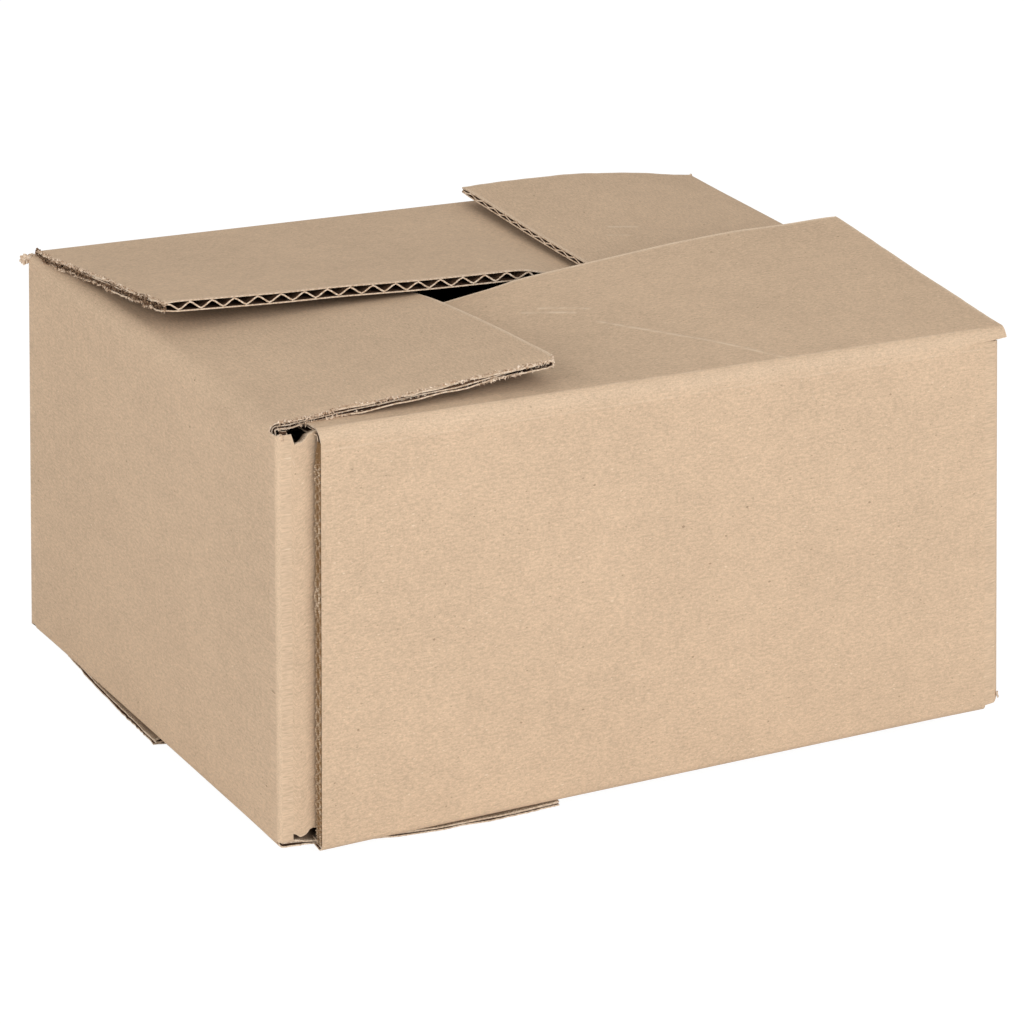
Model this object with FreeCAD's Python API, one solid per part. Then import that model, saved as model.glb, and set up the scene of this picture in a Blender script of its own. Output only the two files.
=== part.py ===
import FreeCAD, Part
import math
import os
from FreeCAD import Vector

# A closed carton of single wall corrugated board, folded from one blank.
# Sizes are millimetres. X runs along the long front panel, the front faces -Y and Z is up.
# The origin lies on the floor under the middle of the carton.

# Carton over the outsides of its walls
LENGTH = 206.0
WIDTH = 158.0
WALL_HEIGHT = 106.0

# Board: two flat liners with a fluted medium between them
BOARD = 3.0
LINER = 0.4
MEDIUM = 0.35
FLUTE_PITCH = 6.5
FLUTE_OPEN_DEPTH = 8.0
FLUTE_SIDE_MARGIN = 2.0

# Scored folds, by their outside radius
BEND_RADIUS = 4.0

# Flaps: the front and back pair stop this far apart, and stacked flaps lie this clear
CENTRE_GAP = 3.0
PLY_CLEARANCE = 0.3
WORN_TIP_RADIUS = 3.5

# Top closure: how high the flaps stand above the top fold
TOP_LONG_TIP = 9.6
TOP_SHORT_TIP = 7.6
TOP_SHORT_MIDDLE = 2.9

# Bottom closure: how far the flaps hang below the bottom fold, and what the floor presses flat
BOTTOM_TIP = 5.4
BOTTOM_SHORT_MIDDLE = 1.2
PRESSED_FLAT = 0.4

# Crease across the front flaps, as shares of the way from the left flap's edge to the right one's
CREASE_AT_FOLD = 0.9
CREASE_AT_EDGE = 0.35

# Glued joint: the tab folds round the near corner and goes behind the front panel
JOINT_SETBACK = 10.0
TAB_WIDTH = 38.0
TAB_TAPER_DEG = 30.0

# Worked out from the sizes above
PLY = BOARD + PLY_CLEARANCE
FOLD_STEP = PLY / 2
FLAP_DEPTH = (WIDTH - CENTRE_GAP) / 2
INNER_BEND = BEND_RADIUS - BOARD
BASE_LEVEL = BOTTOM_TIP - PRESSED_FLAT
TOP_LEVEL = BASE_LEVEL + WALL_HEIGHT
SAME_PLACE = 0.001


class Closure:
    """One end of the carton: the level of its folds and how far its flaps stand out from them."""

    def __init__(self, level, outward, pressed, long_tip, short_tip, short_middle):
        self.level = level
        self.outward = outward
        self.outer_liner = LINER + pressed
        self.tips = {"long": long_tip, "short": short_tip}
        self.short_middle = short_middle

    def z(self, lift, depth_in_board):
        """Height of a point at a lift outside the fold level and a depth inside the board."""
        return self.level + self.outward * (lift - depth_in_board)

    def edge_lifts(self, kind):
        """Lifts along a free edge, from the end tucked under to the end that lies over."""
        middle = [self.short_middle]
        if kind == "long":
            middle = [self.short_middle - PLY, self.short_middle + PLY]
        return [-PLY] + middle + [self.tips[kind]]


TOP = Closure(TOP_LEVEL, 1, 0.0, TOP_LONG_TIP, TOP_SHORT_TIP, TOP_SHORT_MIDDLE)
BOTTOM = Closure(BASE_LEVEL, -1, PRESSED_FLAT, BOTTOM_TIP, BOTTOM_TIP, BOTTOM_SHORT_MIDDLE)


class Panel:
    """A wall with its two flaps. Seen from outside, u runs to the right and v goes inwards."""

    def __init__(self, kind, corner, turn_deg, start, end, creased=False, worn_tip=0.0):
        self.kind = kind
        self.span = LENGTH if kind == "long" else WIDTH
        self.placement = FreeCAD.Placement(corner, FreeCAD.Rotation(Vector(0, 0, 1), turn_deg))
        self.start = start
        self.end = end
        self.creased = creased
        self.worn_tip = worn_tip

    def fold_lift(self, u):
        """The fold stands a ply higher at the end that lies over than at the end under."""
        return FOLD_STEP * (2 * u / self.span - 1)

    def edge_lift(self, closure, u):
        """Lift of the free edge, which is straight between the crossings of its neighbours."""
        places = [self.start, self.span / 2, self.end]
        if self.kind == "long":
            places = [self.start, FLAP_DEPTH, self.span - FLAP_DEPTH, self.end]
        lifts = closure.edge_lifts(self.kind)
        last = max(i for i in range(len(places) - 1) if i == 0 or u >= places[i])
        share = (u - places[last]) / (places[last + 1] - places[last])
        return lifts[last] + share * (lifts[last + 1] - lifts[last])

    def stations(self):
        """Pairs of places, on the fold and on the free edge, that the flap bends between."""
        if self.kind == "short":
            return [(u, u) for u in (self.start, self.span / 2, self.end)]
        crossings = (FLAP_DEPTH, self.span - FLAP_DEPTH)
        pairs = [(u, u) for u in (self.start,) + crossings + (self.end,)]
        if self.creased:
            way = crossings[1] - crossings[0]
            pairs.insert(2, (crossings[0] + CREASE_AT_FOLD * way, crossings[0] + CREASE_AT_EDGE * way))
        return pairs

    def flap_lift(self, closure, u, v):
        """Lift of the flap's outer face at any place on it."""
        out = (v - BEND_RADIUS) / (FLAP_DEPTH - BEND_RADIUS)
        stations = self.stations()
        lines = [(1 - out) * fold_u + out * edge_u for fold_u, edge_u in stations]
        last = max(i for i in range(len(lines) - 1) if i == 0 or u >= lines[i])
        share = (u - lines[last]) / (lines[last + 1] - lines[last])
        lifts = []
        for fold_u, edge_u in stations[last:last + 2]:
            lifts.append((1 - out) * self.fold_lift(fold_u) + out * self.edge_lift(closure, edge_u))
        return lifts[0] + share * (lifts[1] - lifts[0])

    def wall_end(self, closure, u):
        """Height where the flat wall meets the round of the fold."""
        return closure.z(self.fold_lift(u), BEND_RADIUS)

    def flap_half(self, closure, fold_u, edge_u):
        """Line round one flap's board, from the wall outside, over the free edge, to the wall inside."""
        lines = []
        for depth in (0, BOARD):
            fold_z = closure.z(self.fold_lift(fold_u), depth)
            edge_z = closure.z(self.edge_lift(closure, edge_u), depth)
            lines.append((Vector(fold_u, BEND_RADIUS, fold_z), Vector(edge_u, FLAP_DEPTH, edge_z)))
        (outer_fold, outer_edge), (inner_fold, inner_edge) = lines
        return [
            fold_round(outer_fold, BEND_RADIUS, closure.outward),
            Part.makeLine(outer_fold, outer_edge),
            Part.makeLine(outer_edge, inner_edge),
            Part.makeLine(inner_edge, inner_fold),
            fold_round(inner_fold, INNER_BEND, closure.outward),
        ]

    def section(self, fold_u, edge_u):
        """Closed line round the whole strip of board: top flap, wall and bottom flap."""
        high = self.wall_end(TOP, fold_u)
        low = self.wall_end(BOTTOM, fold_u)
        edges = self.flap_half(TOP, fold_u, edge_u) + self.flap_half(BOTTOM, fold_u, edge_u)
        edges.append(Part.makeLine(Vector(fold_u, 0, low), Vector(fold_u, 0, high)))
        edges.append(Part.makeLine(Vector(fold_u, BOARD, high), Vector(fold_u, BOARD, low)))
        return Part.Wire(Part.__sortEdges__(edges))

    def board(self):
        """The strip of board, ruled from station to station."""
        wires = [self.section(fold_u, edge_u) for fold_u, edge_u in self.stations()]
        return Part.makeLoft(wires, True, True)

    def channel(self, closure, u, outer):
        """Open channel of one flute, against the outer or the inner liner, in from the free edge."""
        base, apex = closure.outer_liner, BOARD - LINER - MEDIUM
        if not outer:
            base, apex = BOARD - LINER, closure.outer_liner + MEDIUM
        half = FLUTE_PITCH / 2 - MEDIUM
        mouth = []
        for place, depth in ((u - half, base), (u + half, base), (u, apex)):
            lift = self.flap_lift(closure, place, FLAP_DEPTH)
            mouth.append(Vector(place, FLAP_DEPTH, closure.z(lift, depth)))
        inner_v = FLAP_DEPTH - FLUTE_OPEN_DEPTH
        rise = self.flap_lift(closure, u, inner_v) - self.flap_lift(closure, u, FLAP_DEPTH)
        run = Vector(0, -FLUTE_OPEN_DEPTH, closure.outward * rise)
        channel = Part.Face(Part.makePolygon(mouth + mouth[:1])).extrude(run)
        channel.Placement = self.placement
        return channel

    def channels(self, closure):
        """Every flute of one free edge, by turns against the outer and the inner liner."""
        step = FLUTE_PITCH / 2
        first = self.start + FLUTE_SIDE_MARGIN + step
        last = self.end - self.worn_tip - FLUTE_SIDE_MARGIN - step
        count = int((last - first) / step) + 1
        first += (last - first - (count - 1) * step) / 2
        return [self.channel(closure, first + i * step, i % 2 == 0) for i in range(count)]

    def owns_edge(self, face, closure):
        """Whether a face of the carton is this panel's free edge at this end of the carton."""
        to_panel = self.placement.inverse()
        centre = to_panel.multVec(face.CenterOfMass)
        normal = to_panel.Rotation.multVec(face.normalAt(0, 0))
        at_end = (centre.z - closure.level) * closure.outward > -WALL_HEIGHT / 2
        return at_end and abs(centre.y - FLAP_DEPTH) < SAME_PLACE and abs(normal.y) > 1 - SAME_PLACE


def fold_round(flap_end, radius, outward):
    """Quarter round between a flap's first point and the wall."""
    short = radius * (1 - math.sqrt(0.5))
    wall_end = flap_end + Vector(0, -radius, -outward * radius)
    middle = flap_end + Vector(0, -radius + short, -outward * short)
    return Part.Arc(flap_end, middle, wall_end).toShape()


def round_worn_tip(board, panel):
    """Round off the corner of the top flap's free edge at the end that lies over."""
    tip = Vector(panel.end, FLAP_DEPTH, TOP.z(TOP.tips[panel.kind], BOARD / 2))
    edge = min(board.Edges, key=lambda e: e.CenterOfMass.distanceToPoint(tip))
    return board.makeFillet(panel.worn_tip, [edge])


def upright_corner(centre, first_deg, low, high):
    """Quarter ring of board that joins two walls at an upright fold."""
    foot = Vector(centre[0], centre[1], low)
    upwards = Vector(0, 0, 1)
    rounds = [Part.makeCylinder(r, high - low, foot, upwards, 90) for r in (BEND_RADIUS, INNER_BEND)]
    ring = rounds[0].cut(rounds[1])
    ring.rotate(foot, upwards, first_deg)
    return ring


def glue_tab(low, high):
    """Tab that carries on from the near corner, narrowing as it goes behind the front panel."""
    start = -LENGTH / 2 + BEND_RADIUS
    end = -LENGTH / 2 + TAB_WIDTH
    face_y = -WIDTH / 2 + BOARD
    taper = (end - start) * math.tan(math.radians(TAB_TAPER_DEG))
    outline = [(start, low), (end, low + taper), (end, high - taper), (start, high), (start, low)]
    wire = Part.makePolygon([Vector(x, face_y, z) for x, z in outline])
    return Part.Face(wire).extrude(Vector(0, BOARD, 0))


def make_panels():
    """The four panels in order round the carton, starting beside the glued joint."""
    x = LENGTH / 2
    y = WIDTH / 2
    inset = BEND_RADIUS
    left_end = WIDTH - BOARD - inset
    return {
        "front": Panel("long", Vector(-x, -y, 0), 0, JOINT_SETBACK, LENGTH - inset, creased=True),
        "right": Panel("short", Vector(x, -y, 0), 90, inset, WIDTH - inset),
        "back": Panel("long", Vector(x, y, 0), 180, inset, LENGTH - inset),
        "left": Panel("short", Vector(-x, y, 0), 270, inset, left_end, worn_tip=WORN_TIP_RADIUS),
    }


def plain_carton(panels):
    """The four strips of board joined at their upright folds and at the glued tab."""
    parts = []
    for panel in panels.values():
        board = panel.board()
        if panel.worn_tip:
            board = round_worn_tip(board, panel)
        board.Placement = panel.placement
        parts.append(board)

    x = LENGTH / 2 - BEND_RADIUS
    y = WIDTH / 2 - BEND_RADIUS
    for name, centre, first_deg in (("right", (x, -y), 270), ("back", (x, y), 0), ("left", (-x, y), 90)):
        panel = panels[name]
        low = panel.wall_end(BOTTOM, panel.start)
        high = panel.wall_end(TOP, panel.start)
        parts.append(upright_corner(centre, first_deg, low, high))

    left = panels["left"]
    low = left.wall_end(BOTTOM, left.end)
    high = left.wall_end(TOP, left.end)
    parts.append(upright_corner((-x, -y + BOARD), 180, low, high))
    parts.append(glue_tab(low, high))

    floor = Part.makeBox(2 * LENGTH, 2 * WIDTH, WALL_HEIGHT, Vector(-LENGTH, -WIDTH, -WALL_HEIGHT))
    return parts[0].multiFuse(parts[1:]).removeSplitter().cut(floor)


def outline(faces):
    """Outer rim of faces that lie in one plane, side by side."""
    edges = [edge for face in faces for edge in face.OuterWire.Edges]
    rim = [edge for edge in edges if sum(edge.isSame(other) for other in edges) == 1]
    return Part.Wire(Part.__sortEdges__(rim))


def open_flutes(carton, panels):
    """The same carton with the flutes open at the cut edges of its flaps."""
    free_edges = [(panel, closure, []) for panel in panels.values() for closure in (TOP, BOTTOM)]
    skin = []
    for face in carton.Faces:
        owned = (found for panel, closure, found in free_edges if panel.owns_edge(face, closure))
        next(owned, skin).append(face)
    for panel, closure, found in free_edges:
        wires = [outline(found)]
        for channel in panel.channels(closure):
            mouth = next(face for face in channel.Faces if panel.owns_edge(face, closure))
            wires.append(mouth.OuterWire)
            skin += [face for face in channel.Faces if not face.isSame(mouth)]
        skin.append(Part.makeFace(wires, "Part::FaceMakerBullseye"))
    shell = Part.makeCompound(skin)
    shell.sewShape()
    return Part.Solid(shell.Shells[0])


os.makedirs("parts", exist_ok=True)
panels = make_panels()
carton = open_flutes(plain_carton(panels), panels)
print("solids", len(carton.Solids), "valid", carton.isValid(), "faces", len(carton.Faces))
print("volume", round(carton.Volume), "mm3")
carton.exportStep("parts/carton.step")
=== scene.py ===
"""A closed corrugated carton, dressed as the worn kraft box that it is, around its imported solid."""

import logging
import math
from dataclasses import dataclass, field
from enum import Enum
from typing import Optional

import bpy
import numpy as np
from mathutils import Matrix, Vector


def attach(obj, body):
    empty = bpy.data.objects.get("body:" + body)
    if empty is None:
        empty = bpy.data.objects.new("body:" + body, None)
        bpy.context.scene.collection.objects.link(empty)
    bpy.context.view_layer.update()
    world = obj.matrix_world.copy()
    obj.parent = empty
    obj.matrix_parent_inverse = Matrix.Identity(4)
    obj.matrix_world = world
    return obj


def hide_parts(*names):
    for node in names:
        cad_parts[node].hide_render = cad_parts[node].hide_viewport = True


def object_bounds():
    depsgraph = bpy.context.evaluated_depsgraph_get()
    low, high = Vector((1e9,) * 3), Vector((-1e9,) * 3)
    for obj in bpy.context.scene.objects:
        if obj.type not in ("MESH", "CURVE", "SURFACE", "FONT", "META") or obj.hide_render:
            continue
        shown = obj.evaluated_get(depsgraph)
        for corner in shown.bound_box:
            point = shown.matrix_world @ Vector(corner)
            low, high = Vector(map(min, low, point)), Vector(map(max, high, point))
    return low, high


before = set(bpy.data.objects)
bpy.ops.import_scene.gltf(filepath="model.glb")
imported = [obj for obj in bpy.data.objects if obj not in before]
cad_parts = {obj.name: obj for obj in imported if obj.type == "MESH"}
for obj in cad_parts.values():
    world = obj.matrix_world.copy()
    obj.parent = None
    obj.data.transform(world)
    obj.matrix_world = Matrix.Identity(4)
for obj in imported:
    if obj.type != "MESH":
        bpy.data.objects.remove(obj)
CAD_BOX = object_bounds()

MM = 0.001
BODY = "root"
NODE = "carton"
TORN_BAND = 0.6
MERGE_DISTANCE = 0.01
EDGE_COLUMNS = (0, 0.25, 0.6, 1.0, 1.5, 2.2, 3.1, 4.4, 6.4)
LOG = logging.getLogger("carton")


class Side(Enum):
    """The four walls, in order round the carton."""

    FRONT = 0
    RIGHT = 1
    BACK = 2
    LEFT = 3


class Zone(Enum):
    """Stretches of a strip of board, from its bottom free edge to its top one."""

    BOTTOM_FLAP = 0
    BOTTOM_FOLD = 1
    WALL = 2
    TOP_FOLD = 3
    TOP_FLAP = 4


@dataclass(frozen=True)
class Board:
    """Corrugated board: two liners with a fluted medium between them, in millimetres."""

    thickness: float = 3.0
    liner: float = 0.38
    medium: float = 0.4
    flute_pitch: float = 6.5
    scored: float = 0.62


@dataclass(frozen=True)
class Layout:
    """Sizes of the folded carton in millimetres, over the outsides of its walls."""

    length: float = round((CAD_BOX[1].x - CAD_BOX[0].x) / MM, 1)
    width: float = round((CAD_BOX[1].y - CAD_BOX[0].y) / MM, 1)
    base_level: float = 5.0
    wall_height: float = 106.0
    centre_gap: float = 3.0
    bend: float = 4.0
    joint_setback: float = 10.0
    tab_width: float = 38.0
    tab_taper: float = 0.5
    fold_step: float = 1.65

    @property
    def flap_depth(self) -> float:
        """Depth of every flap from its wall to its free edge."""
        return (self.width - self.centre_gap) / 2

    @property
    def top_level(self) -> float:
        """Height of the top folds."""
        return self.base_level + self.wall_height


@dataclass(frozen=True)
class Profile:
    """Lift of a flap's free edge at places along it, and how the flap bows between fold and edge."""

    places: tuple
    lifts: tuple
    bow: float = 0.0
    softening: float = 7.0

    def edge(self, u: np.ndarray) -> np.ndarray:
        """Lift of the free edge.

        Args:
            u: Places along the flap in millimetres.

        Returns:
            Lift at each place, with the bends between the given places rounded.
        """
        shifts = np.linspace(-self.softening, self.softening, 9)
        return sum(np.interp(u + shift, self.places, self.lifts) for shift in shifts) / len(shifts)


@dataclass(frozen=True)
class Ripples:
    """A smooth random surface, made of a few plane waves with a fixed seed."""

    seed: int
    height: float
    wavelength: float
    count: int = 9

    def at(self, a: np.ndarray, b: np.ndarray) -> np.ndarray:
        """Height of the surface.

        Args:
            a: First coordinate in millimetres.
            b: Second coordinate in millimetres, of a shape that fits the first.

        Returns:
            Height at each point.
        """
        rng = np.random.RandomState(self.seed)
        total = 0.0
        for _ in range(self.count):
            turn = rng.uniform(0, math.pi)
            wave = 2 * math.pi / (self.wavelength * rng.uniform(0.6, 1.6))
            phase = rng.uniform(0, 2 * math.pi)
            total = total + np.sin(wave * (a * math.cos(turn) + b * math.sin(turn)) + phase)
        return total * self.height / math.sqrt(self.count)


def gathered(count: int, strength: float) -> np.ndarray:
    """Shares from 0 to 1 that lie closer together at both ends.

    Args:
        count: Number of shares.
        strength: From 0 for even steps to 1 for very fine ones at the ends.

    Returns:
        The shares in rising order.
    """
    even = np.linspace(0, 1, count)
    return even - strength * np.sin(2 * np.pi * even) / (2 * np.pi)


class RowPlan:
    """Rows of vertices along a strip of board, the same for every panel."""

    def __init__(self, flap_rows: int, fold_rows: int, wall_rows: int) -> None:
        """Lay out the rows.

        Args:
            flap_rows: Rows on each flap.
            fold_rows: Rows round each fold.
            wall_rows: Rows up the wall.
        """
        zones, places = [], []
        flap = gathered(flap_rows + 1, 0.55)[1:]
        parts = [
            (Zone.BOTTOM_FLAP, flap[::-1]),
            (Zone.BOTTOM_FOLD, np.linspace(1, 0, fold_rows, endpoint=False)),
            (Zone.WALL, gathered(wall_rows, 0.85)),
            (Zone.TOP_FOLD, np.linspace(0, 1, fold_rows + 1)[1:]),
            (Zone.TOP_FLAP, flap),
        ]
        for zone, values in parts:
            zones += [zone.value] * len(values)
            places += list(values)
        self.zone = np.array(zones)[:, None]
        self.place = np.array(places)[:, None]
        self.count = len(zones)

    def on(self, *zones: Zone) -> np.ndarray:
        """Which rows lie in any of the zones, as a column of truth values."""
        return np.isin(self.zone, [zone.value for zone in zones])

    @property
    def wall(self) -> np.ndarray:
        """Numbers of the rows on the wall."""
        return np.nonzero(self.on(Zone.WALL)[:, 0])[0]

    @property
    def height_share(self) -> np.ndarray:
        """How far up the carton each row lies, from 0 at the bottom folds to 1 at the top ones."""
        low = self.on(Zone.BOTTOM_FLAP, Zone.BOTTOM_FOLD)
        return np.where(self.on(Zone.WALL), self.place, np.where(low, 0.0, 1.0))

    @property
    def held(self) -> np.ndarray:
        """How far each row follows the walls, from 1 on them to 0 at a flap's free edge."""
        return np.where(self.on(Zone.BOTTOM_FLAP, Zone.TOP_FLAP), 1 - self.place, 1.0)

    def flap_share(self) -> np.ndarray:
        """How far each row is out on a flap, from 0 on the wall to 1 from a few millimetres out."""
        return np.where(self.on(Zone.BOTTOM_FLAP, Zone.TOP_FLAP), np.clip(self.place * 14, 0, 1), 0.0)


@dataclass(frozen=True)
class Fold:
    """How a fold turns from wall to flap: its reach inwards and downwards, and how flat it is between."""

    inward: float = 3.0
    upright: float = 3.0
    at_ends: float = 2.0
    flatness: float = 0.1

    def reach(self, distance: np.ndarray, size: float) -> np.ndarray:
        """Reach of the fold, smaller at the panel's side edges.

        Args:
            distance: Distance from the nearer side edge.
            size: Reach away from the side edges.

        Returns:
            Reach at each place.
        """
        return size + (min(self.at_ends, size) - size) * np.exp(-(distance / 9.0) ** 2)


@dataclass(frozen=True)
class Reach:
    """How far a flap lies out past its wall's side edges, next to the fold and at its free corners."""

    start_fold: float = 0.0
    start_tip: float = 0.0
    end_fold: float = 0.0
    end_tip: float = 0.0


@dataclass
class Panel:
    """A wall with its two flaps. From outside, u runs to the right and v goes inwards."""

    side: Side
    layout: Layout
    board: Board
    start: float
    end: float
    top: Profile
    bottom: Profile
    top_fold: Fold = Fold()
    bottom_fold: Fold = Fold(1.9, 1.9, 1.6)
    ragged: tuple = (0.3, 0.3)
    seed: int = 1
    moves: dict = field(default_factory=dict)
    tip_rounding: float = 0.0
    side_crush: float = 0.45
    free_kept: float = 1.0
    reach_top: Reach = Reach()
    reach_bottom: Reach = Reach()
    rubbed: float = 0.3

    @property
    def span(self) -> float:
        """Length of the wall over the carton's outside."""
        long = self.side in (Side.FRONT, Side.BACK)
        return self.layout.length if long else self.layout.width

    def fold_lift(self, u: np.ndarray) -> np.ndarray:
        """The fold stands higher at the end that lies over its neighbour."""
        return self.layout.fold_step * (2 * u / self.span - 1)

    def columns(self, step: float) -> np.ndarray:
        """Places of the columns of vertices, close together at both side edges.

        Args:
            step: Distance between columns away from the side edges.

        Returns:
            Places along u.
        """
        near = np.array(EDGE_COLUMNS)
        count = int((self.end - self.start - 2 * near[-1]) / step) + 1
        middle = np.linspace(self.start + near[-1], self.end - near[-1], count + 1)[1:-1]
        return np.concatenate([self.start + near, middle, self.end - near[::-1]])

    def from_side_edge(self, u: np.ndarray) -> np.ndarray:
        """Distance from the nearer side edge."""
        return np.clip(np.minimum(u - self.start, self.end - u), 0, None)

    def wall_height(self) -> float:
        """Height between the folds' own reaches."""
        return self.layout.wall_height - self.top_fold.upright - self.bottom_fold.upright

    def side_kept(self, u: np.ndarray, rows: RowPlan) -> np.ndarray:
        """Share of its thickness that the board keeps where its torn side edges are crushed.

        Args:
            u: Places of the columns.
            rows: The rows.

        Returns:
            Share at each row and column.
        """
        nearest = self.from_side_edge(u)[None, :]
        wobble = Ripples(self.seed + 40, 0.5, 9.0).at(u[None, :] * 0.2, rows.place * 80)
        side = np.exp(-((nearest / (2.6 + wobble)) ** 2)) * rows.flap_share()
        crush = np.where(rows.on(Zone.BOTTOM_FLAP), 0.6, 1.0) * self.side_crush
        uneven = Ripples(self.seed + 41, 0.12, 7.0).at(u[None, :] * 0.1, rows.place * 80)
        uneven = uneven * np.where(rows.on(Zone.BOTTOM_FLAP), 0.3, 1.2)
        return 1 - (1 - crush) * (1 + uneven) * side

    def scored(self, rows: RowPlan) -> np.ndarray:
        """Share of its thickness that the board keeps along its pressed score lines.

        Args:
            rows: The rows.

        Returns:
            Share at each row.
        """
        flap = rows.on(Zone.BOTTOM_FLAP, Zone.TOP_FLAP)
        away = np.where(flap, rows.place * self.layout.flap_depth, 0.0)
        nearer_fold = np.minimum(rows.place, 1 - rows.place) * self.wall_height()
        away = np.where(rows.on(Zone.WALL), nearer_fold, away)
        to_free = np.where(flap, (1 - rows.place) * self.layout.flap_depth, 99.0)
        pressed = 1 - (1 - self.free_kept) * np.exp(-((to_free / 6.0) ** 2))
        return pressed * (1 - (1 - self.board.scored) * np.exp(-((away / 2.6) ** 2)))

    def ragged_shift(self, u: np.ndarray, rows: RowPlan, layer: int) -> np.ndarray:
        """Sideways shift that makes a liner's torn side edges uneven.

        Args:
            u: Places of the columns.
            rows: The rows.
            layer: Number that picks the layer's own tear.

        Returns:
            Shift in millimetres at each row and column.
        """
        rng = np.random.RandomState(self.seed * 7 + layer)
        shift = np.zeros((rows.count, len(u)))
        torn = rows.flap_share() * np.where(rows.on(Zone.BOTTOM_FLAP), 0.3, 1.0)
        for which, place in enumerate((self.start, self.end)):
            jitter = rng.normal(0, 1, rows.count)
            jitter = 0.6 * jitter + 0.4 * np.convolve(jitter, np.ones(5) / 2.2, "same")
            reach = np.exp(-((u - place) / 0.9) ** 2)
            shift += self.ragged[which] * (jitter[:, None] * torn) * reach[None, :]
        return shift

    def grid(self, u: np.ndarray, rows: RowPlan, depth: float, layer: int) -> np.ndarray:
        """Points of one layer of the board in the panel's own directions.

        Args:
            u: Places of the columns.
            rows: The rows.
            depth: Depth inside the board, from 0 outside to its thickness inside.
            layer: Number that picks the layer's own tear.

        Returns:
            Array of rows, columns and u, v, z in millimetres.
        """
        lay = self.layout
        kept = self.side_kept(u, rows)
        deep = depth * self.scored(rows) * kept + (1 - kept) * self.board.thickness * 0.3
        shifted = u[None, :] + self.ragged_shift(u, rows, layer) + self.flare(u, rows)
        v, z = np.zeros_like(deep), np.zeros_like(deep)
        side = self.from_side_edge(u)[None, :]
        step = self.fold_lift(u)[None, :]
        share, turn = rows.place, rows.place * math.pi / 2
        ends = {}
        for out, fold, profile, folded, flap in (
            (-1, self.bottom_fold, self.bottom, rows.on(Zone.BOTTOM_FOLD), rows.on(Zone.BOTTOM_FLAP)),
            (1, self.top_fold, self.top, rows.on(Zone.TOP_FOLD), rows.on(Zone.TOP_FLAP)),
        ):
            inward, upright = fold.reach(side, fold.inward), fold.reach(side, fold.upright)
            level = lay.base_level if out < 0 else lay.top_level
            ends[out] = level + out * (step - upright)
            flat = fold.flatness
            across = (1 - flat) * (1 - np.cos(turn)) + flat * share
            along = (1 - flat) * np.sin(turn) + flat * share
            fold_v = deep + np.maximum(inward - deep, 0.2) * across
            fold_z = ends[out] + out * (upright - deep) * along
            v, z = np.where(folded, fold_v, v), np.where(folded, fold_z, z)
            lift = (1 - share) * step + share * profile.edge(u)[None, :]
            lift = lift + profile.bow * np.sin(np.pi * share) * (u[None, :] / self.span) ** 2
            lift = lift + Ripples(self.seed, 0.2, 38.0).at(u[None, :], share * 70) * np.sin(np.pi * share)
            if out > 0 and self.tip_rounding:
                shifted = shifted - np.where(flap, self.tip_pull(u, share), 0.0)
            v = np.where(flap, inward + share * (lay.flap_depth - inward), v)
            z = np.where(flap, level + out * (lift - deep), z)
        walls = rows.on(Zone.WALL)
        bulge = Ripples(self.seed + 9, 0.25, 60.0).at(u[None, :], rows.place * 100)
        calm = np.sin(np.pi * rows.place) * np.sin(np.pi * u / self.span)[None, :]
        v = np.where(walls, deep - bulge * calm, v)
        z = np.where(walls, ends[-1] + rows.place * (ends[1] - ends[-1]), z)
        return np.stack([shifted, v, z], axis=-1)

    def flare(self, u: np.ndarray, rows: RowPlan) -> np.ndarray:
        """How far the flaps reach on past their wall's side edges, most next to the fold.

        Args:
            u: Places of the columns.
            rows: The rows.

        Returns:
            Shift in millimetres at each row and column.
        """
        shift = np.zeros((rows.count, len(u)))
        near_start = np.clip(1 - (u - self.start) / 20.0, 0, 1)[None, :]
        near_end = np.clip(1 - (self.end - u) / 20.0, 0, 1)[None, :]
        for reach, fold, flap in ((self.reach_top, Zone.TOP_FOLD, Zone.TOP_FLAP),
                                  (self.reach_bottom, Zone.BOTTOM_FOLD, Zone.BOTTOM_FLAP)):
            folded = rows.on(fold) * np.clip(rows.place * 9, 0, 1) + rows.on(flap) * (1 - rows.place)
            free = rows.on(flap) * rows.place
            shift += (reach.end_fold * folded + reach.end_tip * free) * near_end
            shift -= (reach.start_fold * folded + reach.start_tip * free) * near_start
        return shift

    def tip_pull(self, u: np.ndarray, share: np.ndarray) -> np.ndarray:
        """How far the end's side edge is drawn in to round the free corner.

        Args:
            u: Places of the columns.
            share: How far each row is out on the flap.

        Returns:
            Distance in millimetres at each row and column.
        """
        radius = self.tip_rounding
        into = np.clip(share * self.layout.flap_depth - (self.layout.flap_depth - radius), 0, radius)
        drawn = radius - np.sqrt(np.maximum(radius**2 - into**2, 0))
        return drawn * np.clip(1 - (self.end - u[None, :]) / (2.5 * radius), 0, 1)

    def sheet(self, grid: np.ndarray, rows: RowPlan) -> np.ndarray:
        """Place of each point on the flat sheet: u, and the way up it from the bottom folds.

        Args:
            grid: Points in the panel's own directions.
            rows: The rows.

        Returns:
            Array of rows, columns and two places in millimetres.
        """
        up = grid[..., 2] - self.layout.base_level
        step = self.fold_lift(grid[..., 0])
        for out, fold, folded, flap, wall_end in (
            (-1, self.bottom_fold, Zone.BOTTOM_FOLD, Zone.BOTTOM_FLAP, up[rows.wall[0]]),
            (1, self.top_fold, Zone.TOP_FOLD, Zone.TOP_FLAP, up[rows.wall[-1]]),
        ):
            level = (self.layout.wall_height if out > 0 else 0.0) + out * step
            turned = (1 - rows.place) * wall_end[None, :] + rows.place * (level + out * fold.inward)
            up = np.where(rows.on(folded), turned, up)
            up = np.where(rows.on(flap), level + out * grid[..., 1], up)
        return np.stack([grid[..., 0], up], axis=-1)

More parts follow.
